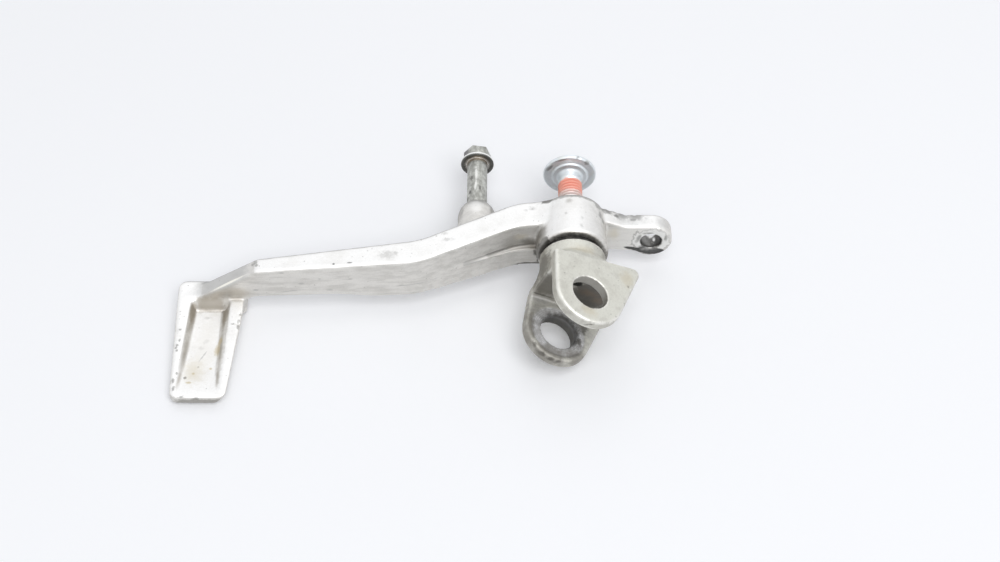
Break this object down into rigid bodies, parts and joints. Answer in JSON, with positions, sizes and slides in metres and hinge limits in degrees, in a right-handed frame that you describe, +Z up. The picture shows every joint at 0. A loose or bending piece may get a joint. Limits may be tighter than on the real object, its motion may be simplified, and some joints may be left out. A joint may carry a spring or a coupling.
{
  "type": "motorcycle rear brake pedal",
  "caption": "Cast rear brake pedal with a hollow-backed foot pad, swinging on the spindle of a cast footrest clevis, with its pivot bolt and the shouldered bolt that carries the springs.",
  "frame": {"origin": "on the pivot axis, at the rear face of the clevis spindle, which seats on the bike's hanger", "axes": "+X along the lever from the foot pad to the push-rod lug, +Y along the pivot towards the bike, +Z up with the tread of the foot pad facing down"},
  "size_m": [0.199, 0.1183, 0.0438],
  "materials": {
    "pedal_casting": "bare cast aluminium, bright on top, light stains and chips",
    "clevis_casting": "bare cast aluminium, warmer and dirtier, bright worn edges",
    "bush_bronze": "plain bearing bronze",
    "seal_rubber": "black rubber, matt",
    "zinc_steel": "zinc plated, nicked, thread with old thread-locking paint",
    "dull_steel": "dull plated steel, dirty, streaked"
  },
  "bodies": {
    "footrest_holder": {"footrest_clevis": "clevis_casting", "pivot_bolt": "zinc_steel"},
    "pedal": {"pedal_arm": "pedal_casting", "pivot_bush": "bush_bronze", "front_dust_seal": "seal_rubber", "rear_dust_seal": "seal_rubber", "spring_post_bolt": "dull_steel"}
  },
  "joints": [
    {"name": "pedal_swing", "type": "hinge", "parent": "footrest_holder", "child": "pedal", "pos_m": [0, 0, 0], "axis": [0, 1, 0], "range_deg": [0, 15]}
  ]
}
